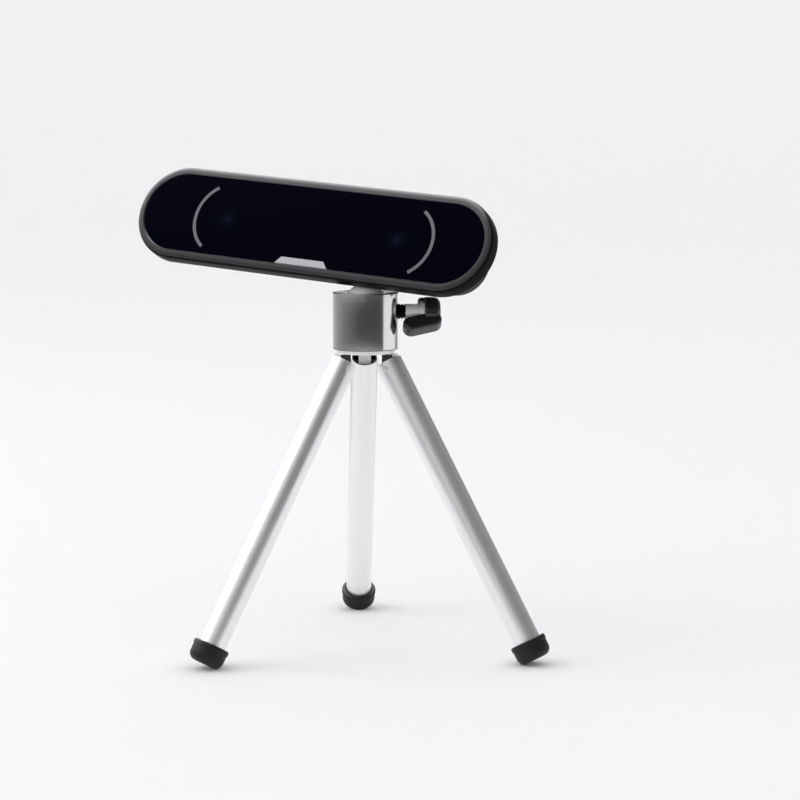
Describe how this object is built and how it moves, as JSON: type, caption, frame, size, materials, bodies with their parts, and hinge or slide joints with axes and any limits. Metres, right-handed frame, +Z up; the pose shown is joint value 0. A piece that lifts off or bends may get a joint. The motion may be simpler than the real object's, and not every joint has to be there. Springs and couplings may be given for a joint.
{
  "type": "webcam on tripod",
  "caption": "Stadium-shaped dual-lens webcam with a gloss black front, on a ball head with a wing screw and a small folding tripod with rubber feet.",
  "frame": {"origin": "on the table, under the middle of the tripod", "axes": "+Z up, the wing screw points to +X, the front is -Y; the webcam is turned 31 degrees towards -X and tipped back"},
  "size_m": [0.1052, 0.0803, 0.1241],
  "materials": {
    "turned_steel": "polished turned steel",
    "satin_metal": "turned, satin",
    "polished_aluminium": "polished tube",
    "acetal": "moulded, natural",
    "black_plastic": "moulded, fine satin",
    "black_anodised": "bead blasted and anodised black",
    "grey_anodised": "satin dark grey anodised",
    "black_glass": "gloss, tinted black from behind",
    "gasket_rubber": "die-cut foam tape",
    "grey_ink": "printed and lacquered",
    "frosted_plastic": "frosted light guide",
    "sheet_aluminium": "sheet, as cut",
    "small_screws": "zinc plated",
    "dark_screws": "black oxide",
    "circuit_board": "glass epoxy with solder mask",
    "chip_plastic": "moulded package",
    "pad_rubber": "soft gap filler",
    "lamp_plastic": "clear lamp body",
    "socket_metal": "drawn and plated",
    "brass_insert": "turned",
    "lens_black": "matt black",
    "lens_glass": "coated",
    "flex_film": "polyimide film",
    "foot_rubber": "moulded"
  },
  "bodies": {
    "tripod": {"hub": "satin_metal", "leg_base": "satin_metal", "brake_shoe": "acetal"},
    "leg_rear": {"leg_tube_rear": "polished_aluminium", "pivot_pin_rear": "turned_steel", "foot_cap_rear": "foot_rubber"},
    "leg_right": {"leg_tube_right": "polished_aluminium", "pivot_pin_right": "turned_steel", "foot_cap_right": "foot_rubber"},
    "leg_left": {"leg_tube_left": "polished_aluminium", "pivot_pin_left": "turned_steel", "foot_cap_left": "foot_rubber"},
    "ball_cup": {"ball_seat": "acetal"},
    "ball": {"ball_stud": "turned_steel"},
    "webcam": {"housing_shell": "black_anodised", "front_bezel": "grey_anodised", "front_window": "black_glass", "window_gasket": "gasket_rubber", "lens_arc_marks": "grey_ink", "status_light_tab": "frosted_plastic", "module_bracket": "sheet_aluminium", "bracket_screws": "small_screws", "main_board": "circuit_board", "board_screws": "small_screws", "processor_chip": "chip_plastic", "thermal_pad": "pad_rubber", "status_led": "lamp_plastic", "usb_socket": "socket_metal", "rear_cover": "black_anodised", "rear_cover_screws": "dark_screws", "tripod_thread_insert": "brass_insert", "lens_barrel_left": "lens_black", "lens_glass_left": "lens_glass", "sensor_holder_left": "lens_black", "flex_cable_left": "flex_film", "lens_barrel_right": "lens_black", "lens_glass_right": "lens_glass", "sensor_holder_right": "lens_black", "flex_cable_right": "flex_film"},
    "thumb_screw": {"clamp_screw": "turned_steel", "wing_knob": "black_plastic"}
  },
  "joints": [
    {"name": "leg_rear_fold", "type": "hinge", "parent": "tripod", "child": "leg_rear", "pos_m": [0, 0.0074, 0.07387], "axis": [-1, 0, 0], "range_deg": [0, 29.6]},
    {"name": "leg_right_fold", "type": "hinge", "parent": "tripod", "child": "leg_right", "pos_m": [0.00641, -0.0037, 0.07387], "axis": [0.5, 0.866, 0], "range_deg": [0, 29.6]},
    {"name": "leg_left_fold", "type": "hinge", "parent": "tripod", "child": "leg_left", "pos_m": [-0.00641, -0.0037, 0.07387], "axis": [0.5, -0.866, 0], "range_deg": [0, 29.6]},
    {"name": "ball_pan", "type": "hinge", "parent": "tripod", "child": "ball_cup", "pos_m": [0, 0, 0.08987], "axis": [0, 0, 1], "continuous": true},
    {"name": "ball_tilt", "type": "hinge", "parent": "ball_cup", "child": "ball", "pos_m": [0, 0, 0.08987], "axis": [-0.7501, 0.6613, 0], "range_deg": [-12, 0.5]},
    {"name": "webcam_swivel", "type": "hinge", "parent": "ball", "child": "webcam", "pos_m": [0, 0, 0.08987], "axis": [0.2899, 0.3288, 0.8988], "range_deg": [-20, 6]},
    {"name": "clamp_turn", "type": "hinge", "parent": "tripod", "child": "thumb_screw", "pos_m": [0, 0, 0.08797], "axis": [1, 0, 0], "range_deg": [-72, 0]}
  ]
}
